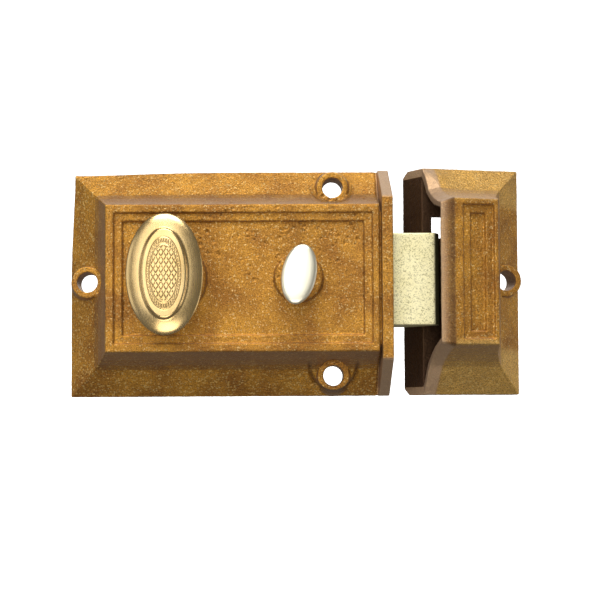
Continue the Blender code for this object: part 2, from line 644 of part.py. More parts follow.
def make_strike():
    """The cast keeper: a bevelled box open towards the lock, with a lip, a back flange and a screw boss."""
    hinge = bpy.data.objects.new("strike_seat", None)
    parts.objects.link(hinge)
    tipped = Matrix.Translation((STRIKE_X * MM, 0, 0)) @ Matrix.Rotation(math.radians(STRIKE_TILT), 4, "Z")
    hinge.matrix_world = tipped
    frame = tipped @ UPRIGHT
    strike = loft_x(
        "strike",
        (
            (STRIKE_MOUTH, section(HALF, STRIKE_SIDE + 1.0, FACE_HEIGHT - STRIKE_RAMP)),
            (STRIKE_SHOULDER, section(HALF, STRIKE_SIDE, FACE_HEIGHT)),
            (0.0, section(HALF, STRIKE_SIDE, FACE_HEIGHT)),
        ),
        BRONZE,
        frame,
    )
    right = [(-inset, rise) for inset, rise in bevel_profile(STRIKE_BEVEL, FACE_HEIGHT)]
    side = [(0.0, -3.0)] + right[1:] + [(right[-1][0], 25.0), (-40.0, 25.0), (-40.0, -3.0)]
    boolean(strike, prism("strike_right_bevel", side, -40, 40, tipped @ ALONG_Z), "INTERSECT")

    pocket = list(STRIKE_POCKET)
    pocket += [(-z, rise) for z, rise in reversed(pocket)]
    space = prism("strike_pocket", pocket, STRIKE_MOUTH - 3, -8.0, tipped @ ALONG_X)
    ends = [(-40.0, 0.5), (-40.0, 19.0), (-17.2, 19.0), (-16.9, STRIKE_CEILING), (-11.0, 7.5), (-10.0, 0.5)]
    boolean(space, prism("strike_pocket_right", ends, -40, 40, tipped @ ALONG_Z), "INTERSECT")
    cut(strike, space)
    left, right, low, high = STRIKE_SLOT
    cut(strike, box("strike_back_slot", (left, low, -2.0), (right, high, 5.0), frame=frame))
    fixing_hole(strike, "strike", STRIKE_HOLE_X, 0.0, 8.2, frame, STRIKE_HOLE_WALL)
    cut(strike, box("strike_back_trim", (-40, -45, -9), (15, 45, 0), frame=frame))
    left, right, half = STRIKE_PANEL
    moulding(strike, "strike", left, right, half, frame)
    join(strike, jamb_flange(tipped))
    smooth(strike, 30)


make_case()
make_back_plate()
make_bolt()
make_guides()
make_spring()
make_hub()
make_knob()
make_snib()
make_strike()
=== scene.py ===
import math

import bmesh
import bpy
import numpy as np
from mathutils import Matrix, Vector


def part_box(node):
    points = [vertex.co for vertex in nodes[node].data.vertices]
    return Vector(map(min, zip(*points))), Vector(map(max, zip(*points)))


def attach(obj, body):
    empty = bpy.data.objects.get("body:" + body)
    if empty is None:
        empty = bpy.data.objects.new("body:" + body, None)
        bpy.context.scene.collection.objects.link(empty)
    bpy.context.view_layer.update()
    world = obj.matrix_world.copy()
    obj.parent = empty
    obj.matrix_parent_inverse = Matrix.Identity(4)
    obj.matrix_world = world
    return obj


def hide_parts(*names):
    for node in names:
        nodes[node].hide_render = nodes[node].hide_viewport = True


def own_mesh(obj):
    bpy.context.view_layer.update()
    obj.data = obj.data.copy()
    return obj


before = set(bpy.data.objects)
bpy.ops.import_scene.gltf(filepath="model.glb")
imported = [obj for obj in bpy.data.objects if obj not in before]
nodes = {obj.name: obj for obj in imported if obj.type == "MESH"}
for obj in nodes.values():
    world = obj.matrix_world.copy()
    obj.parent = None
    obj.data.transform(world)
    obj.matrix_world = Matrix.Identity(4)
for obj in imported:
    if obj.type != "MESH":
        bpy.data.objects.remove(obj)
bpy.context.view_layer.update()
mm = 0.001
print("frame loaded:", len(nodes), "nodes")


def colour(text):  # an sRGB hex value, turned linear
    shares = [int(text[i : i + 2], 16) / 255 for i in (0, 2, 4)]
    return tuple(s / 12.92 if s <= 0.04045 else ((s + 0.055) / 1.055) ** 2.4 for s in shares) + (1.0,)


def addNode(tree, kind, settings=None, links=None):
    node = tree.nodes.new(kind)
    for name, value in (settings or {}).items():
        if isinstance(name, str) and hasattr(node, name):
            setattr(node, name, value)
        else:
            node.inputs[name].default_value = value
    for name, source in (links or {}).items():
        tree.links.new(source, node.inputs[name])
    return node


def startMaterial(name, metallic, roughness, **more):
    material = bpy.data.materials.new(name)
    material.use_nodes = True
    tree = material.node_tree
    tree.nodes.clear()
    shader = addNode(
        tree, "ShaderNodeBsdfPrincipled", {"Metallic": metallic, "Roughness": roughness, **more}
    )
    addNode(tree, "ShaderNodeOutputMaterial", links={"Surface": shader.outputs["BSDF"]})
    where = addNode(tree, "ShaderNodeTexCoord")
    return material, tree, shader, where


def perMetre(sizeMm):  # a pattern's scale for marks of this real size
    return 1 / (sizeMm * mm)


# Gold bronze lacquer brushed over a sand-cast zinc body. The sand leaves grains and pits, the metal flakes
# in the lacquer give a gritty sparkle, and steep walls get a painted shade that makes them greyer and darker.
castLook = {
    "gold": "BE8B37",
    "brown": "9A6A2B",
    "flake": "F6DFA0",
    # painted shade colour for steep walls
    "steepWallShade": "A58467",
    # pale gold: painted light on the strike's bevels, and rubbed wear with a painted highlight on edges
    "paleWearAndLight": "DDB970",
    # painted shade colour for the corners
    "pitAndCreviceShade": "3A210E",
    "ground": "B59A80",
    # painted shade colour
    "paintedShade": "3C281B",
    "grainMm": 0.36,
    "flakeMm": 0.36,
    "pitMm": 2.2,
    "blotchMm": 9,
    "roughness": 0.42,
    "metallic": 0.68,
}


def bronzeLacquerOnSandCasting(look):
    material, tree, shader, where = startMaterial(
        "bronzeLacquerOnSandCasting", look["metallic"], look["roughness"]
    )
    at = {"Vector": where.outputs["Object"]}
    blotch = addNode(tree, "ShaderNodeTexNoise", {"Scale": perMetre(look["blotchMm"]), "Detail": 4.0}, at)
    grain = addNode(
        tree,
        "ShaderNodeTexNoise",
        {"Scale": perMetre(look["grainMm"]), "Detail": 3.0, "Roughness": 0.7},
        at,
    )
    pits = addNode(
        tree,
        "ShaderNodeTexNoise",
        {"Scale": perMetre(look["pitMm"]), "Detail": 5.0, "Roughness": 0.65},
        at,
    )
    shade = addNode(
        tree, "ShaderNodeMapRange", {"From Min": 0.35, "From Max": 0.65}, {"Value": blotch.outputs["Fac"]}
    )
    base = addNode(
        tree,
        "ShaderNodeMix",
        {"data_type": "RGBA", 6: colour(look["brown"]), 7: colour(look["gold"])},
        {0: shade.outputs["Result"]},
    )
    # painted light: the strike's top and bottom bevels are lightened toward pale gold
    litBevelMark = addNode(tree, "ShaderNodeAttribute", {"attribute_name": "paleWearAndLight"})
    litBevels = addNode(
        tree,
        "ShaderNodeMix",
        {"data_type": "RGBA", 7: colour(look["paleWearAndLight"])},
        {0: litBevelMark.outputs["Fac"], 6: base.outputs[2]},
    )
    # grains of the sand: dark between, gold on top; these two are gains on the colour below
    tone = addNode(tree, "ShaderNodeValToRGB", links={"Fac": grain.outputs["Fac"]})
    tone.color_ramp.elements[0].position = 0.36
    tone.color_ramp.elements[0].color = (0.36, 0.33, 0.28, 1)
    tone.color_ramp.elements[1].position = 0.64
    tone.color_ramp.elements[1].color = (1.32, 1.28, 1.15, 1)
    speckled = addNode(
        tree,
        "ShaderNodeMix",
        {"data_type": "RGBA", "blend_type": "MULTIPLY", 0: 0.85},
        {6: litBevels.outputs[2], 7: tone.outputs["Color"]},
    )
    # painted shade: steep walls made greyer and darker, by the surface's own direction
    facing = addNode(tree, "ShaderNodeSeparateXYZ", links={"Vector": where.outputs["Normal"]})
    depth = addNode(tree, "ShaderNodeMath", {"operation": "ABSOLUTE"}, {0: facing.outputs["Y"]})
    steepness = addNode(
        tree,
        "ShaderNodeMapRange",
        {"From Min": 0.62, "From Max": 0.30, "To Max": 0.75},
        {"Value": depth.outputs["Value"]},
    )
    steepWallShaded = addNode(
        tree,
        "ShaderNodeMix",
        {"data_type": "RGBA", 7: colour(look["steepWallShade"])},
        {0: steepness.outputs["Result"], 6: speckled.outputs[2]},
    )
    # edges paled, partly rubbed wear and partly a painted highlight; painted shade darkens the corners
    edges = addNode(tree, "ShaderNodeNewGeometry")
    edgeWearAndHighlight = addNode(
        tree,
        "ShaderNodeMapRange",
        {"From Min": 0.53, "From Max": 0.60, "To Max": 0.65},
        {"Value": edges.outputs["Pointiness"]},
    )
    edgeWornAndLit = addNode(
        tree,
        "ShaderNodeMix",
        {"data_type": "RGBA", 7: colour(look["paleWearAndLight"])},
        {0: edgeWearAndHighlight.outputs["Result"], 6: steepWallShaded.outputs[2]},
    )
    # painted shade in the concave corners
    creviceDark = addNode(
        tree,
        "ShaderNodeMapRange",
        {"From Min": 0.475, "From Max": 0.40, "To Max": 0.8},
        {"Value": edges.outputs["Pointiness"]},
    )
    creviceDarkened = addNode(
        tree,
        "ShaderNodeMix",
        {"data_type": "RGBA", 7: colour(look["pitAndCreviceShade"])},
        {0: creviceDark.outputs["Result"], 6: edgeWornAndLit.outputs[2]},
    )
    # bright flakes, drawn a little coarser than the real ones so that they show
    flakes = addNode(tree, "ShaderNodeTexVoronoi", {"Scale": perMetre(look["flakeMm"])}, at)
    flakePick = addNode(tree, "ShaderNodeSeparateColor", links={"Color": flakes.outputs["Color"]})
    flakeMask = addNode(
        tree,
        "ShaderNodeMapRange",
        {"From Min": 0.88, "From Max": 0.99, "To Max": 0.38},
        {"Value": flakePick.outputs["Red"]},
    )
    sparkling = addNode(
        tree,
        "ShaderNodeMix",
        {"data_type": "RGBA", 7: colour(look["flake"])},
        {0: flakeMask.outputs["Result"], 6: creviceDarkened.outputs[2]},
    )
    # faces ground flat after casting; painted shade in the strike's hollow, on its lip and in the case's boss
    # creases, and the case darker towards its back
    groundMark = addNode(tree, "ShaderNodeAttribute", {"attribute_name": "ground"})
    groundShare = addNode(
        tree, "ShaderNodeMath", {"operation": "MULTIPLY", 1: 0.8}, {0: groundMark.outputs["Fac"]}
    )
    smoothed = addNode(
        tree,
        "ShaderNodeMix",
        {"data_type": "RGBA", 7: colour(look["ground"])},
        {0: groundShare.outputs["Value"], 6: sparkling.outputs[2]},
    )
    paintedShadeMark = addNode(tree, "ShaderNodeAttribute", {"attribute_name": "paintedShade"})
    paintedShaded = addNode(
        tree,
        "ShaderNodeMix",
        {"data_type": "RGBA", 7: colour(look["paintedShade"])},
        {0: paintedShadeMark.outputs["Fac"], 6: smoothed.outputs[2]},
    )
    tree.links.new(paintedShaded.outputs[2], shader.inputs["Base Color"])
    gloss = addNode(
        tree,
        "ShaderNodeMapRange",
        {"To Min": look["roughness"] + 0.14, "To Max": look["roughness"] - 0.12},
        {"Value": grain.outputs["Fac"]},
    )
    tree.links.new(gloss.outputs["Result"], shader.inputs["Roughness"])
    coarse = addNode(
        tree, "ShaderNodeBump", {"Strength": 0.7, "Distance": 0.4 * mm}, {"Height": pits.outputs["Fac"]}
    )
    fine = addNode(
        tree, "ShaderNodeBump", {"Strength": 0.9, "Distance": 0.2 * mm}, {
            "Height": grain.outputs["Fac"],
            "Normal": coarse.outputs["Normal"],
        }
    )
    tree.links.new(fine.outputs["Normal"], shader.inputs["Normal"])
    return material


# Brass, polished on a wheel and lacquered: a mirror with soft haze, fine wheel marks and a few pits.
def wheelPolishedBrass(name, look):
    material, tree, shader, where = startMaterial(name, 1.0, look["roughness"])
    at = {"Vector": where.outputs["Object"]}
    haze = addNode(tree, "ShaderNodeTexNoise", {"Scale": perMetre(7), "Detail": 3.0}, at)
    tint = addNode(
        tree,
        "ShaderNodeMix",
        {"data_type": "RGBA", 6: colour(look["deep"]), 7: colour(look["pale"])},
        {0: haze.outputs["Fac"]},
    )
    edges = addNode(tree, "ShaderNodeNewGeometry")
    creviceDark = addNode(
        tree,
        "ShaderNodeMapRange",
        {"From Min": 0.49, "From Max": 0.44, "To Max": 0.85},
        {"Value": edges.outputs["Pointiness"]},
    )
    creviceDarkened = addNode(
        tree,
        "ShaderNodeMix",
        {"data_type": "RGBA", 7: colour(look["grime"])},
        {0: creviceDark.outputs["Result"], 6: tint.outputs[2]},
    )
    spots = addNode(tree, "ShaderNodeTexVoronoi", {"Scale": perMetre(look["pitMm"])}, at)
    spotPick = addNode(tree, "ShaderNodeSeparateColor", links={"Color": spots.outputs["Color"]})
    chosen = addNode(
        tree,
        "ShaderNodeMath",
        {"operation": "GREATER_THAN", 1: 1 - look["pitShare"]},
        {0: spotPick.outputs["Green"]},
    )
    near = addNode(
        tree,
        "ShaderNodeMapRange",
        {"From Min": 0.16, "From Max": 0.10},
        {"Value": spots.outputs["Distance"]},
    )
    pitAndCreviceShade = addNode(
        tree,
        "ShaderNodeMath",
        {"operation": "MULTIPLY"},
        {0: chosen.outputs["Value"], 1: near.outputs["Result"]},
    )
    pitted = addNode(
        tree,
        "ShaderNodeMix",
        {"data_type": "RGBA", 7: colour(look["grime"])},
        {0: pitAndCreviceShade.outputs["Value"], 6: creviceDarkened.outputs[2]},
    )
    tree.links.new(pitted.outputs[2], shader.inputs["Base Color"])
    marks = addNode(
        tree,
        "ShaderNodeMapping",
        {"Scale": (perMetre(0.25), perMetre(0.25), perMetre(5))},
        {"Vector": where.outputs["Object"]},
    )
    lines = addNode(
        tree, "ShaderNodeTexNoise", {"Scale": 1.0, "Detail": 2.0}, {"Vector": marks.outputs["Vector"]}
    )
    gloss = addNode(
        tree,
        "ShaderNodeMapRange",
        {"To Min": look["roughness"] - 0.05, "To Max": look["roughness"] + 0.10},
        {"Value": lines.outputs["Fac"]},
    )
    tree.links.new(gloss.outputs["Result"], shader.inputs["Roughness"])
    bump = addNode(
        tree,
        "ShaderNodeBump",
        {"Strength": 0.12, "Distance": 0.05 * mm},
        {"Height": lines.outputs["Fac"]},
    )
    tree.links.new(bump.outputs["Normal"], shader.inputs["Normal"])
    return material


# Pale passivated zinc plate, dipped over a blasted surface: bright, faintly yellow and gritty to the eye.
def passivatedZincPlate(name, look):
    material, tree, shader, where = startMaterial(name, look["metallic"], look["roughness"])
    at = {"Vector": where.outputs["Object"]}
    grit = addNode(
        tree,
        "ShaderNodeTexNoise",
        {"Scale": perMetre(look["gritMm"]), "Detail": 4.0, "Roughness": 0.75},
        at,
    )
    cloud = addNode(tree, "ShaderNodeTexNoise", {"Scale": perMetre(6), "Detail": 3.0}, at)
    tint = addNode(
        tree,
        "ShaderNodeMix",
        {"data_type": "RGBA", 6: colour(look["deep"]), 7: colour(look["pale"])},
        {0: cloud.outputs["Fac"]},
    )
    mask = addNode(
        tree,
        "ShaderNodeMapRange",
        {"From Min": 0.50, "From Max": 0.34, "To Max": look["gritShare"]},
        {"Value": grit.outputs["Fac"]},
    )
    gritty = addNode(
        tree,
        "ShaderNodeMix",
        {"data_type": "RGBA", 7: colour(look["grit"])},
        {0: mask.outputs["Result"], 6: tint.outputs[2]},
    )
    # painted shade: faces turned toward the strike, along +X, are darkened
    facing = addNode(tree, "ShaderNodeSeparateXYZ", links={"Vector": where.outputs["Normal"]})
    noseShadeMask = addNode(
        tree,
        "ShaderNodeMapRange",
        {"From Min": 0.3, "From Max": 0.75, "To Max": look["noseShare"]},
        {"Value": facing.outputs["X"]},
    )
    noseShaded = addNode(
        tree,
        "ShaderNodeMix",
        {"data_type": "RGBA", 7: colour(look["noseShade"])},
        {0: noseShadeMask.outputs["Result"], 6: gritty.outputs[2]},
    )
    tree.links.new(noseShaded.outputs[2], shader.inputs["Base Color"])
    gloss = addNode(
        tree,
        "ShaderNodeMapRange",
        {"To Min": look["roughness"] - 0.1, "To Max": look["roughness"] + 0.15},
        {"Value": grit.outputs["Fac"]},
    )
    tree.links.new(gloss.outputs["Result"], shader.inputs["Roughness"])
    bump = addNode(
        tree, "ShaderNodeBump", {"Strength": 0.4, "Distance": 0.06 * mm}, {"Height": grit.outputs["Fac"]}
    )
    tree.links.new(bump.outputs["Normal"], shader.inputs["Normal"])
    return material


lacquer = bronzeLacquerOnSandCasting(castLook)
knobBrass = wheelPolishedBrass(
    "wheelPolishedBrass",
    {
        "deep": "C9A868",
        "pale": "EBCF9C",
        "grime": "5A431E",
        "roughness": 0.24,
        "pitMm": 1.3,
        "pitShare": 0.02,
    },
)
snibBrass = wheelPolishedBrass(
    "buffedPaleBrass",
    {
        "deep": "F3EDD2",
        "pale": "FCFAEE",
        "grime": "6A6038",
        "roughness": 0.34,
        "pitMm": 1.1,
        "pitShare": 0.05,
    },
)
bushBrass = wheelPolishedBrass(
    "turnedBrass",
    {
        "deep": "A37B38",
        "pale": "CFA75C",
        "grime": "2E210E",
        "roughness": 0.28,
        "pitMm": 1.0,
        "pitShare": 0.01,
    },
)
boltPlate = passivatedZincPlate(
    "passivatedZincPlateOnBolt",
    {
        "deep": "DCD3A0",
        "pale": "F3EECB",
        "grit": "7C7346",
        # painted shade colour for the nose
        "noseShade": "3E3418",
        "noseShare": 0.9,
        "gritMm": 0.42,
        "gritShare": 0.95,
        "roughness": 0.46,
        "metallic": 0.6,
    },
)
zincSteel = passivatedZincPlate(
    "zincPlatedSteelPressing",
    {
        "deep": "8E8F8C",
        "pale": "C4C5C0",
        "grit": "5C5B54",
        "noseShade": "8E8F8C",
        "noseShare": 0.0,
        "gritMm": 0.6,
        "gritShare": 0.4,
        "roughness": 0.34,
        "metallic": 1.0,
    },
)
springSteel = passivatedZincPlate(
    "oiledSpringWire",
    {
        "deep": "5E5F63",
        "pale": "8C8D90",
        "grit": "2E2C28",
        "noseShade": "5E5F63",
        "noseShare": 0.0,
        "gritMm": 0.5,
        "gritShare": 0.5,
        "roughness": 0.3,
        "metallic": 1.0,
    },
)
print("materials ready")


def dress(piece, material):
    piece.data.materials.clear()
    piece.data.materials.append(material)


def ready(piece, body, slot, material, *replaced):
    dress(piece, material)
    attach(piece, body)
    if replaced:
        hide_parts(*replaced)


def meshPiece(name, points, faces, smooth=True):
    mesh = bpy.data.meshes.new(name)
    mesh.from_pydata(points, [], faces)
    mesh.update()
    if smooth:
        mesh.shade_smooth()
    piece = bpy.data.objects.new(name, mesh)
    bpy.context.scene.collection.objects.link(piece)
    return piece


def bake(piece):  # the modifiers become the mesh
    graph = bpy.context.evaluated_depsgraph_get()
    made = bpy.data.meshes.new_from_object(piece.evaluated_get(graph))
    piece.modifiers.clear()
    piece.data = made
    return piece


# The two castings are remade from the frame's solids: rounded as sand moulds leave them, uneven, grainy and
# pitted, with creases where the moulder's bosses meet the bevels.
castPieces = {
    "case": {"body": "case_body", "voxelMm": 0.22, "soften": 2, "swellMm": 0.13, "grainMm": 0.17},
    "strike": {"body": "strike_body", "voxelMm": 0.20, "soften": 2, "swellMm": 0.13, "grainMm": 0.17},
}
flangeLook = {"startX": 45.3, "chamferZ": 23.6}
bossCreases = {
    # boss: middle of the arc (x, z), half width and half height of the arc, all in mm
    "bottom": {"at": (31.7, -25.6), "half": (7.3, 8.2), "depth": 0.7},
    "top": {"at": (31.7, 29.8), "half": (6.5, 6.4), "depth": 0.4},
}
strikeLook = {
    "hingeX": 89.4,
    "tilt": 12,
    "mouth": -31.0,
    "shoulder": -27.4,
    "lipHeight": 21.0,
    "lowEdgeRise": 2.5,  # how much higher the face ends at the bottom than at the top
    "cornerRise": 1.3,  # how far the mouth's top corner stands up
    # half width of the hollow by height, and where it ends by height
    "hollowSide": ((1.3, 32.0), (5.6, 25.9), (9.4, 23.4), (12.6, 21.8), (18.2, 20.2)),
    "hollowEnd": ((0.5, -10.0), (7.5, -11.0), (18.2, -16.9), (19.0, -17.2)),
}
craterLook = {"count": 110, "seed": 4, "radiusMm": (0.25, 0.8), "depthMm": 0.24}


def surfaceNoise(name, sizeMm, depth):
    texture = bpy.data.textures.new(name, "CLOUDS")
    texture.noise_scale = sizeMm * mm
    texture.noise_depth = depth
    return texture


moundTexture = surfaceNoise("castMounds", 4.0, 2)
sandTexture = surfaceNoise("sandGrains", 0.6, 2)


def pointsOf(mesh, kind="co"):
    source = mesh.vertices if kind == "co" else mesh.vertex_normals
    values = np.empty(len(mesh.vertices) * 3, np.float32)
    source.foreach_get("co" if kind == "co" else "vector", values)
    return values.reshape(-1, 3)


def rise(value, low, high):  # 0 below low, 1 above high, smooth between
    share = np.clip((value - low) / (high - low), 0, 1)
    return share * share * (3 - 2 * share)


def keepMark(mesh, name, values):
    mark = mesh.attributes.new(name, "FLOAT", "POINT")
    mark.data.foreach_set("value", np.ascontiguousarray(values, np.float32))


def caseMarks(points):  # the end flange's chamfers are ground
    x, height, z = points[:, 0] / mm, -points[:, 1] / mm, points[:, 2] / mm
    ground = rise(x, flangeLook["startX"], flangeLook["startX"] + 0.5)
    ground *= rise(np.abs(z), flangeLook["chamferZ"], flangeLook["chamferZ"] + 0.8)
    # painted shade in the lower arcs of the boss creases, and the case darker towards its back
    paintedShade = 0.25 * rise(-height, -1.2, 0.3) + 0.8 * creases(points)
    return ground, paintedShade, np.zeros(len(points))


def strikeMarks(points):  # the mouth's ramp is ground on the walls; painted shade darkens the lip and the hollow, and painted light lightens the top and bottom bevels
    turn = math.radians(strikeLook["tilt"])
    dx, dy = points[:, 0] / mm - strikeLook["hingeX"], points[:, 1] / mm
    x = dx * math.cos(turn) + dy * math.sin(turn)
    height = dx * math.sin(turn) - dy * math.cos(turn)
    z = points[:, 2] / mm
    ramp = 1 - rise(x, strikeLook["shoulder"] - 0.4, strikeLook["shoulder"] + 0.5)
    wall = 1 - rise(height, strikeLook["lipHeight"] - 2.5, strikeLook["lipHeight"])
    ground = ramp * wall
    # painted light on the top and bottom bevels
    paleWearAndLight = (0.5 * rise(z, 21.5, 24.0) + 0.6 * rise(-z, 20.0, 23.0)) * (1 - ramp)
    side = np.interp(height, *zip(*strikeLook["hollowSide"]))
    end = np.interp(height, *zip(*strikeLook["hollowEnd"]))
    inside = (np.abs(z) < side + 0.3) & (x < end + 0.3) & (height < 18.6)
    lipShade = ramp * (1 - wall) * 0.75
    # painted shade: the hollow is painted near black and the lip darkened
    paintedShade = np.where(inside, 0.95, lipShade)
    return np.where(inside, 0.0, ground), paintedShade, np.where(inside, 0.0, paleWearAndLight)


def caseWarp(points):  # the casting is not quite square: its top left corner is drawn in
    x, z = points[:, 0] / mm, points[:, 2] / mm
    moved = points.copy()
    moved[:, 0] += 1.1 * mm * rise(z, 2, 36) * rise(-x, 36, 49.5)
    moved[:, 2] -= 0.9 * mm * rise(-x, 5, 49.5) * rise(z, 22, 35)
    return moved


def strikeWarp(points):
    turn = math.radians(strikeLook["tilt"])
    dx, dy = points[:, 0] / mm - strikeLook["hingeX"], points[:, 1] / mm
    x = dx * math.cos(turn) + dy * math.sin(turn)
    height = dx * math.sin(turn) - dy * math.cos(turn)
    z = points[:, 2] / mm
    moved = points.copy()
    moved[:, 2] += strikeLook["lowEdgeRise"] * mm * rise(-z, 6, 21) * np.clip(height / 21, 0, 1)
    moved[:, 2] += strikeLook["cornerRise"] * mm * rise(-x, 20, 30) * rise(z, 22, 33) * rise(height, 1, 6)
    return moved


def creases(points):
    x, z = points[:, 0] / mm, points[:, 2] / mm
    depth = np.zeros(len(points))
    for look in bossCreases.values():
        (atX, atZ), (halfX, halfZ) = look["at"], look["half"]
        reach = np.hypot((x - atX) / halfX, (z - atZ) / halfZ)
        arc = np.clip(1 - np.abs(reach - 1) / 0.11, 0, 1) * rise(atZ + 1.5 - z, 0, 2.5)
        depth += look["depth"] * arc
    return depth


def craters(points):  # shallow blow holes with a raised edge, mostly in the upper part of the panel
    chance = np.random.default_rng(craterLook["seed"])
    depth = np.zeros(len(points))
    x, z = points[:, 0] / mm, points[:, 2] / mm
    small, large = craterLook["radiusMm"]
    for _ in range(craterLook["count"]):
        atX, atZ = chance.uniform(-12, 42), chance.normal(13, 7)
        radius = chance.uniform(small, large)
        near = np.flatnonzero((np.abs(x - atX) < 1.6 * radius) & (np.abs(z - atZ) < 1.6 * radius))
        reach = np.hypot(x[near] - atX, z[near] - atZ) / radius
        bowl = np.clip(1 - reach**2, -0.45, 1) * np.clip(1.6 - reach, 0, 1)
        depth[near] += craterLook["depthMm"] * bowl
    return depth


def castPiece(nodeName, look):
    piece = bpy.data.objects.new("cast_" + nodeName, nodes[nodeName].data.copy())
    bpy.context.scene.collection.objects.link(piece)
    remesh = piece.modifiers.new("remesh", "REMESH")
    remesh.mode = "VOXEL"
    remesh.voxel_size = look["voxelMm"] * 1 * mm
    remesh.use_smooth_shade = True
    soften = piece.modifiers.new("soften", "SMOOTH")
    soften.factor = 0.5
    soften.iterations = look["soften"]
    bake(piece)
    plain = pointsOf(piece.data)
    for label, texture, depthMm in (
        ("swell", moundTexture, look["swellMm"]), ("sand", sandTexture, look["grainMm"])
    ):
        push = piece.modifiers.new(label, "DISPLACE")
        push.texture = texture
        push.texture_coords = "LOCAL"
        push.strength = depthMm * mm
        push.mid_level = 0.5
    bake(piece)
    rough = pointsOf(piece.data)
    ground, paintedShade, paleWearAndLight = (caseMarks if nodeName == "case" else strikeMarks)(plain)
    points = plain + (rough - plain) * (1 - 0.7 * ground)[:, None]
    points = (caseWarp if nodeName == "case" else strikeWarp)(points)
    if nodeName == "case":
        front = rise(-plain[:, 1] / mm, 3.0, 5.0)
        points -= pointsOf(piece.data, "normal") * ((creases(plain) + craters(plain)) * front * mm)[:, None]
    piece.data.vertices.foreach_set("co", np.ascontiguousarray(points, np.float32).ravel())
    keepMark(piece.data, "ground", ground)
    keepMark(piece.data, "paintedShade", paintedShade)
    keepMark(piece.data, "paleWearAndLight", paleWearAndLight)
    piece.data.update()
    piece.data.shade_smooth()
    ready(piece, look["body"], "bronze_paint", lacquer, nodeName)
    print("cast", nodeName, len(piece.data.polygons), "faces")
    return piece


for nodeName, look in castPieces.items():
    castPiece(nodeName, look)


# The latch bolt: a plated casting with slightly rounded edges and a fine sand grain.
boltLook = {"voxelMm": 0.28, "soften": 3, "grainMm": 0.05}


def latchBolt(look):
    piece = bpy.data.objects.new("plated_latch_bolt", nodes["latch_bolt"].data.copy())
    bpy.context.scene.collection.objects.link(piece)
    remesh = piece.modifiers.new("remesh", "REMESH")
    remesh.mode = "VOXEL"
    remesh.voxel_size = look["voxelMm"] * mm
    remesh.use_smooth_shade = True
    soften = piece.modifiers.new("soften", "SMOOTH")
    soften.iterations = look["soften"]
    push = piece.modifiers.new("sand", "DISPLACE")
    push.texture = sandTexture
    push.texture_coords = "LOCAL"
    push.strength = look["grainMm"] * mm
    bake(piece)
    piece.data.shade_smooth()
    ready(piece, "bolt_body", "plated_bolt", boltPlate, "latch_bolt")


latchBolt(boltLook)


# The turn knob: a cast and polished oval with a rounded rim, a low dome and a raised medallion. The medallion
# is engraved with border lines, a ring of beads and a lattice; a share is 0 in its middle and 1 at its edge.
knobLook = {
    "axisX": -17.6,
    "around": 480,
    "profile": (
        # half width, half height, height above the door, all in mm
        (5.45, 5.45, 21.7),
        (5.6, 5.6, 21.62),
        (5.95, 5.95, 21.8),
        (6.0, 6.0, 22.2),
        (5.6, 5.7, 23.4),
        (5.4, 5.6, 25.0),
        (5.5, 6.0, 26.3),
        (6.0, 7.1, 27.4),
        (7.0, 9.2, 28.5),
        (8.4, 12.1, 29.5),
        (10.0, 15.4, 30.7),
        (10.8, 16.85, 31.3),
        (11.12, 17.45, 31.8),
        (11.2, 17.6, 32.3),
        (11.12, 17.5, 32.6),
        (10.85, 17.15, 32.88),
        (10.4, 16.6, 33.16),
        (9.8, 15.95, 33.42),
        (9.0, 15.15, 33.68),
        (8.1, 14.35, 33.92),
        (7.4, 13.75, 34.08),
        (6.95, 13.35, 34.16),
        (6.75, 13.15, 34.3),
        (6.62, 13.02, 34.5),
        (6.45, 12.85, 34.8),
        (6.2, 12.6, 34.98),
        (5.9, 12.3, 35.02),
    ),
    "medallionRings": 100,
    "domeMm": 0.55,
    "cutMm": 0.15,
}


def ovalRings(rings, around, axisX):
    points = []
    for halfX, halfZ, height in rings:
        for i in range(around):
            turn = 2 * math.pi * i / around
            points.append(
                ((axisX + halfX * math.cos(turn)) * mm, -height * mm, halfZ * math.sin(turn) * mm),
            )
    faces = []
    for ring in range(len(rings) - 1):
        for i in range(around):
            j = (i + 1) % around
            a, b = ring * around, (ring + 1) * around
            faces.append((a + i, a + j, b + j, b + i))
    return points, faces


def groove(value, centre, width):  # 1 in the middle of an engraved line, 0 outside it
    return max(0.0, 1 - abs(value - centre) / width)


def ornament(share, turn, x, z):
    cut = groove(share, 0.85, 0.022) + 0.9 * groove(share, 0.69, 0.016)
    if 0.71 < share < 0.83:  # a ring of beads between the lines
        beads = 40
        local = (turn / (2 * math.pi) * beads) % 1
        radius = math.hypot((local - 0.5) * 1.2, (share - 0.77) / 0.11)
        cut += 0.9 * groove(radius, 0.44, 0.16)
    if share < 0.65:  # a lattice in the middle
        pitchX, pitchZ = 1.5, 2.4
        for slope in (1, -1):
            line = (x / pitchX + slope * z / pitchZ) % 1
            cut += 0.9 * groove(line, 0.5, 0.13)
        cellX, cellZ = math.floor(x / pitchX + z / pitchZ + 0.5), math.floor(x / pitchX - z / pitchZ + 0.5)
        if (cellX + cellZ) % 2 == 0:
            cut += 0.5
    return min(cut, 1.3)


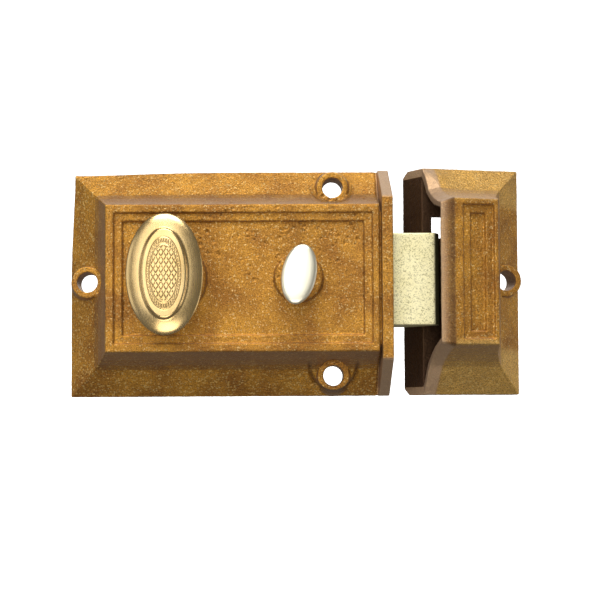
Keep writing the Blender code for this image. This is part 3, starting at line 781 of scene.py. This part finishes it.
def turnKnob(look):
    around, axisX = look["around"], look["axisX"]
    points, faces = ovalRings(look["profile"], around, axisX)
    halfX, halfZ, rimHeight = look["profile"][-1]
    rings = look["medallionRings"]
    last = (len(look["profile"]) - 1) * around
    for ring in range(1, rings):
        share = 1 - ring / rings
        for i in range(around):
            turn = 2 * math.pi * i / around
            x, z = halfX * share * math.cos(turn), halfZ * share * math.sin(turn)
            height = rimHeight + look["domeMm"] * (1 - share ** 2) - look["cutMm"] * ornament(
                share, turn, x, z
            )
            points.append(((axisX + x) * mm, -height * mm, z * mm))
        start = len(points) - around
        for i in range(around):
            j = (i + 1) % around
            faces.append((last + i, last + j, start + j, start + i))
        last = start
    tip = len(points)
    points.append((axisX * mm, -(rimHeight + look["domeMm"] - look["cutMm"]) * mm, 0.0))
    faces += [(last + i, last + (i + 1) % around, tip) for i in range(around)]
    back = len(points)  # the spindle's mouth closes the neck
    points.append((axisX * mm, -look["profile"][0][2] * mm, 0.0))
    faces += [((i + 1) % around, i, back) for i in range(around)]
    knob = meshPiece("turn_knob", points, faces)
    solid = bmesh.new()
    solid.from_mesh(knob.data)
    bmesh.ops.recalc_face_normals(solid, faces=solid.faces)
    solid.to_mesh(knob.data)
    solid.free()
    knob.data.shade_smooth()
    ready(knob, "knob_body", "polished_brass", knobBrass, "knob")
    return knob


turnKnob(knobLook)


# The snib: a small buffed oval with a flat-domed front and a double line under its rim.
snibLook = {
    "axisX": 21.1,
    "tilt": 11,
    "around": 160,
    "profile": (
        (3.3, 3.3, 21.55),
        (3.42, 3.42, 21.7),
        (3.35, 3.35, 23.0),
        (3.3, 3.3, 25.0),
        (3.0, 3.8, 26.2),
        (3.05, 5.0, 27.2),
        (3.5, 6.7, 28.2),
        (4.2, 7.8, 28.9),
        (4.7, 8.4, 29.4),
        (4.88, 8.62, 29.65),
        (4.86, 8.6, 29.8),
        (5.0, 8.75, 29.95),
        (5.1, 8.85, 30.3),
        (5.1, 8.85, 30.6),
        (4.95, 8.7, 31.0),
        (4.6, 8.25, 31.3),
        (4.0, 7.4, 31.5),
        (3.0, 5.7, 31.65),
        (2.0, 3.9, 31.74),
        (1.0, 2.0, 31.79),
        (0.2, 0.4, 31.8),
    ),
}


def snibTurn(look):
    points, faces = ovalRings(look["profile"], look["around"], 0.0)
    around = look["around"]
    last = (len(look["profile"]) - 1) * around
    faces.append([last + i for i in range(around)])
    faces.append(list(reversed(range(around))))
    snib = meshPiece("snib_turn", points, faces)
    tilt = Matrix.Rotation(math.radians(look["tilt"]), 4, "Y")
    snib.data.transform(Matrix.Translation((look["axisX"] * mm, 0, 0)) @ tilt)
    solid = bmesh.new()
    solid.from_mesh(snib.data)
    bmesh.ops.recalc_face_normals(solid, faces=solid.faces)
    solid.to_mesh(snib.data)
    solid.free()
    snib.data.shade_smooth()
    ready(snib, "snib_body", "polished_brass", snibBrass, "snib")


snibTurn(snibLook)


# The bolt's spring: round wire, wound to fit between its post and the bolt's head.
springLook = {
    "radius": 2.4,
    "wire": 0.4,
    "turns": 11,
    "perTurn": 28,
    "axisZ": 10.9,
    "height": 12.2,
    "closedTurns": 1.0,
    "shortest": 0.53,
}


def boltSpring(look):
    low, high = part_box("bolt_spring")
    line = bpy.data.curves.new("bolt_coil", "CURVE")
    line.dimensions = "3D"
    line.bevel_depth = look["wire"] * mm
    line.bevel_resolution = 3
    line.use_fill_caps = True
    count = look["turns"] * look["perTurn"]
    spline = line.splines.new("POLY")
    spline.points.add(count)
    start, end = low.x + look["wire"] * mm, high.x - look["wire"] * mm
    closed, turns = look["closedTurns"], look["turns"]
    tight = 2 * look["wire"] * mm * 1.15
    pitch = (end - start - 2 * tight * closed) / (turns - 2 * closed)
    for i, point in enumerate(spline.points):
        turn = i / look["perTurn"]
        x = start + tight * min(turn, closed) + pitch * min(max(turn - closed, 0), turns - 2 * closed)
        x += tight * max(turn - (turns - closed), 0)
        angle = 2 * math.pi * turn
        y = -look["height"] * mm - look["radius"] * mm * math.cos(angle)
        z = look["axisZ"] * mm + look["radius"] * mm * math.sin(angle)
        point.co = (x, y, z, 1)
    coil = bpy.data.objects.new("bolt_coil", line)
    bpy.context.scene.collection.objects.link(coil)
    graph = bpy.context.evaluated_depsgraph_get()
    mesh = bpy.data.meshes.new_from_object(coil.evaluated_get(graph))
    bpy.data.objects.remove(coil)
    spring = bpy.data.objects.new("coil_spring", mesh)
    bpy.context.scene.collection.objects.link(spring)
    mesh.shade_smooth()
    ready(spring, "case_body", "spring_steel", springSteel, "bolt_spring")
    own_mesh(spring)


boltSpring(springLook)

# The pressed, turned and riveted pieces of the lock work keep the frame's shapes.
remade = ("case", "strike", "latch_bolt", "knob", "snib", "bolt_spring")
ownMetal = {"knob_bush": bushBrass, "snib_bush": bushBrass, "snib_wave_washer": springSteel}
for name, node in nodes.items():
    if name not in remade:
        dress(node, ownMetal.get(name, zincSteel))
print("pieces ready")


# Studio: a white sweep that only the camera sees, a broad light above, and weaker ones all round.
studio = {"floorZ": -0.13, "frontY": -1.6, "backY": 1.1, "topZ": 2.2, "half": 3.0, "bend": 0.4, "steps": 12}


def whiteSweep(look):
    bendY, bend = look["backY"] - look["bend"], look["bend"]
    profile = [(look["frontY"], look["floorZ"]), (bendY, look["floorZ"])]
    for i in range(1, look["steps"] + 1):
        angle = math.pi / 2 * i / look["steps"]
        profile.append((bendY + bend * math.sin(angle), look["floorZ"] + bend * (1 - math.cos(angle))))
    profile.append((look["backY"], look["topZ"]))
    points = [(side * look["half"], y, z) for y, z in profile for side in (-1, 1)]
    faces = [(2 * i, 2 * i + 1, 2 * i + 3, 2 * i + 2) for i in range(len(profile) - 1)]
    sweep = meshPiece("white_sweep", points, faces)
    # seamless white paper, matt: it shows as even white behind the lock
    material, _, shader, _ = startMaterial("seamlessWhitePaper", 0.0, 0.9)
    shader.inputs["Base Color"].default_value = colour("FFFFFF")
    shader.inputs["Emission Color"].default_value = colour("FFFFFF")
    shader.inputs["Emission Strength"].default_value = 1.0
    dress(sweep, material)
    sweep.visible_diffuse = False
    sweep.visible_glossy = False
    sweep.visible_shadow = False


whiteSweep(studio)

lights = {
    "overhead": {"at": (0.0, -0.32, 0.62), "size": (0.6, 0.4), "watts": 5.9, "tint": "FFFBF2"},
    "front": {"at": (-0.16, -0.85, 0.22), "size": (0.9, 0.8), "watts": 4.2, "tint": "FFFDF8"},
    "left": {"at": (-0.60, -0.20, 0.05), "size": (0.4, 0.5), "watts": 0.6, "tint": "FFFDF8"},
    "right": {"at": (0.66, 0.02, -0.05), "size": (0.3, 0.5), "watts": 0.85, "tint": "FFFDF8"},
    "below": {"at": (0.0, -0.52, -0.36), "size": (0.4, 0.22), "watts": 1.1, "tint": "FFF8EA"},
    "behind": {"at": (0.1, 0.8, 0.5), "size": (0.8, 0.8), "watts": 3.0, "tint": "FFFFFF"},
}
for name, look in lights.items():
    lamp = bpy.data.lights.new(name, "AREA")
    lamp.shape = "RECTANGLE"
    lamp.size, lamp.size_y = look["size"]
    lamp.energy = look["watts"]
    lamp.color = colour(look["tint"])[:3]
    holder = bpy.data.objects.new(name, lamp)
    holder.location = look["at"]
    holder.rotation_euler = (-Vector(look["at"])).to_track_quat("-Z", "Y").to_euler()
    bpy.context.scene.collection.objects.link(holder)
world = bpy.data.worlds.new("studioAir")
world.use_nodes = True
air = world.node_tree
air.nodes.clear()
soft = addNode(air, "ShaderNodeBackground", {"Color": colour("F4F2EE"), "Strength": 0.2})
blank = addNode(air, "ShaderNodeBackground", {"Color": colour("FFFFFF"), "Strength": 1.0})
path = addNode(air, "ShaderNodeLightPath")
seen = addNode(
    air,
    "ShaderNodeMixShader",
    links={0: path.outputs["Is Camera Ray"], 1: soft.outputs["Background"], 2: blank.outputs["Background"]},
)
addNode(air, "ShaderNodeOutputWorld", links={"Surface": seen.outputs["Shader"]})
bpy.context.scene.world = world
bpy.context.scene.view_settings.view_transform = "Standard"

# The camera stands a little below the lock's middle and looks almost straight at it.
cameraLook = {
    "at": (0.01636, -0.40846, -0.03978),
    "turn": 0.74,
    "up": 2.27,
    "roll": -0.31,
    "lens": 78.7,
    "shiftY": 0.0997,
}
lensData = bpy.data.cameras.new("camera")
lensData.sensor_width = 36
lensData.lens = cameraLook["lens"]
lensData.shift_y = cameraLook["shiftY"]
lensData.clip_start = 0.01
camera = bpy.data.objects.new("camera", lensData)
bpy.context.scene.collection.objects.link(camera)
camera.matrix_world = (
    Matrix.Translation(cameraLook["at"])
    @ Matrix.Rotation(math.radians(-cameraLook["turn"]), 4, "Z")
    @ Matrix.Rotation(math.radians(90 + cameraLook["up"]), 4, "X")
    @ Matrix.Rotation(math.radians(cameraLook["roll"]), 4, "Z")
)
bpy.context.scene.camera = camera
print("studio ready")
